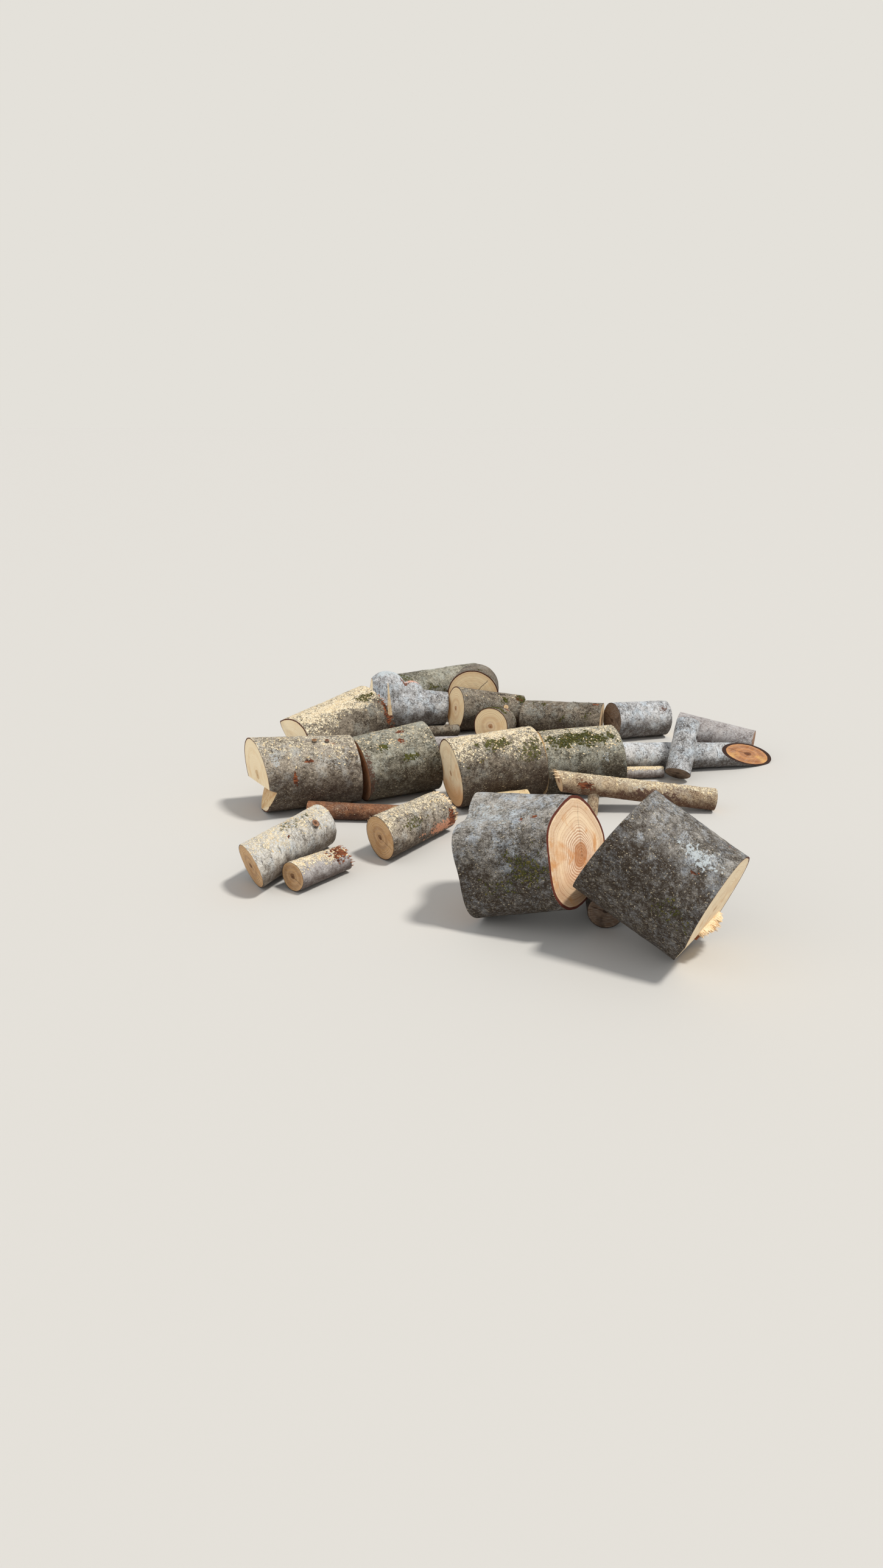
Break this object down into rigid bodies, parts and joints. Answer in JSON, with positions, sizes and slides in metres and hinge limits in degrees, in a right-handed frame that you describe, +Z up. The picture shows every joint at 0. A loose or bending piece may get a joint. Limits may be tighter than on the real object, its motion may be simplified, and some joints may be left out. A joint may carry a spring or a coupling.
{
  "type": "stack of logs",
  "caption": "Loose heap of freshly sawn firewood logs in rows, with two large fluted butt logs, a forked log, oblique cuts and thin limbs.",
  "frame": {"origin": "centre of the heap's bounding box, on the ground", "axes": "+Z up; +Y to the back of the heap, along its longest side; +X to the right as seen from the front, along the rows of logs"},
  "size_m": [2.6273, 3.6702, 0.5505],
  "materials": {
    "butt_bark": "dark mottled bark with blue-grey lichen; sawn ends cream with tan rings and a red-brown bark rim",
    "stem_bark": "grey bark mottled with pale lichen, moss and sawdust; sawn ends cream to tan",
    "pale_bark": "smooth whitish bark with fine dark dashes",
    "limb_bark": "plain brown-grey bark",
    "peeled_wood": "red-brown inner bark where the outer bark is gone",
    "split_wood": "pale fibrous split or sawn wood"
  },
  "bodies": {
    "root": {"butt_log_left": "butt_bark", "butt_log_right": "butt_bark", "limb_under_butt_logs": "limb_bark", "near_row_left_log": "stem_bark", "near_row_right_log": "stem_bark", "middle_row_left_log": "stem_bark", "middle_row_right_log": "stem_bark", "back_row_left_log": "stem_bark", "back_row_middle_log": "stem_bark", "back_row_right_log": "stem_bark", "forked_log": "stem_bark", "slanting_log": "stem_bark", "limb_under_slanting_log": "limb_bark", "end_on_log_small": "stem_bark", "end_on_log_large": "stem_bark", "mossy_log": "stem_bark", "thin_log_brown_end": "limb_bark", "thin_log_pale": "pale_bark", "peeled_limb": "peeled_wood", "split_log": "split_wood", "torn_log": "stem_bark", "pale_log": "pale_bark", "small_log_beside_pale_log": "limb_bark", "oblique_cut_log": "stem_bark", "smooth_log": "pale_bark", "slender_log": "peeled_wood", "offcut_log": "split_wood", "leaning_log": "pale_bark"}
  },
  "joints": []
}
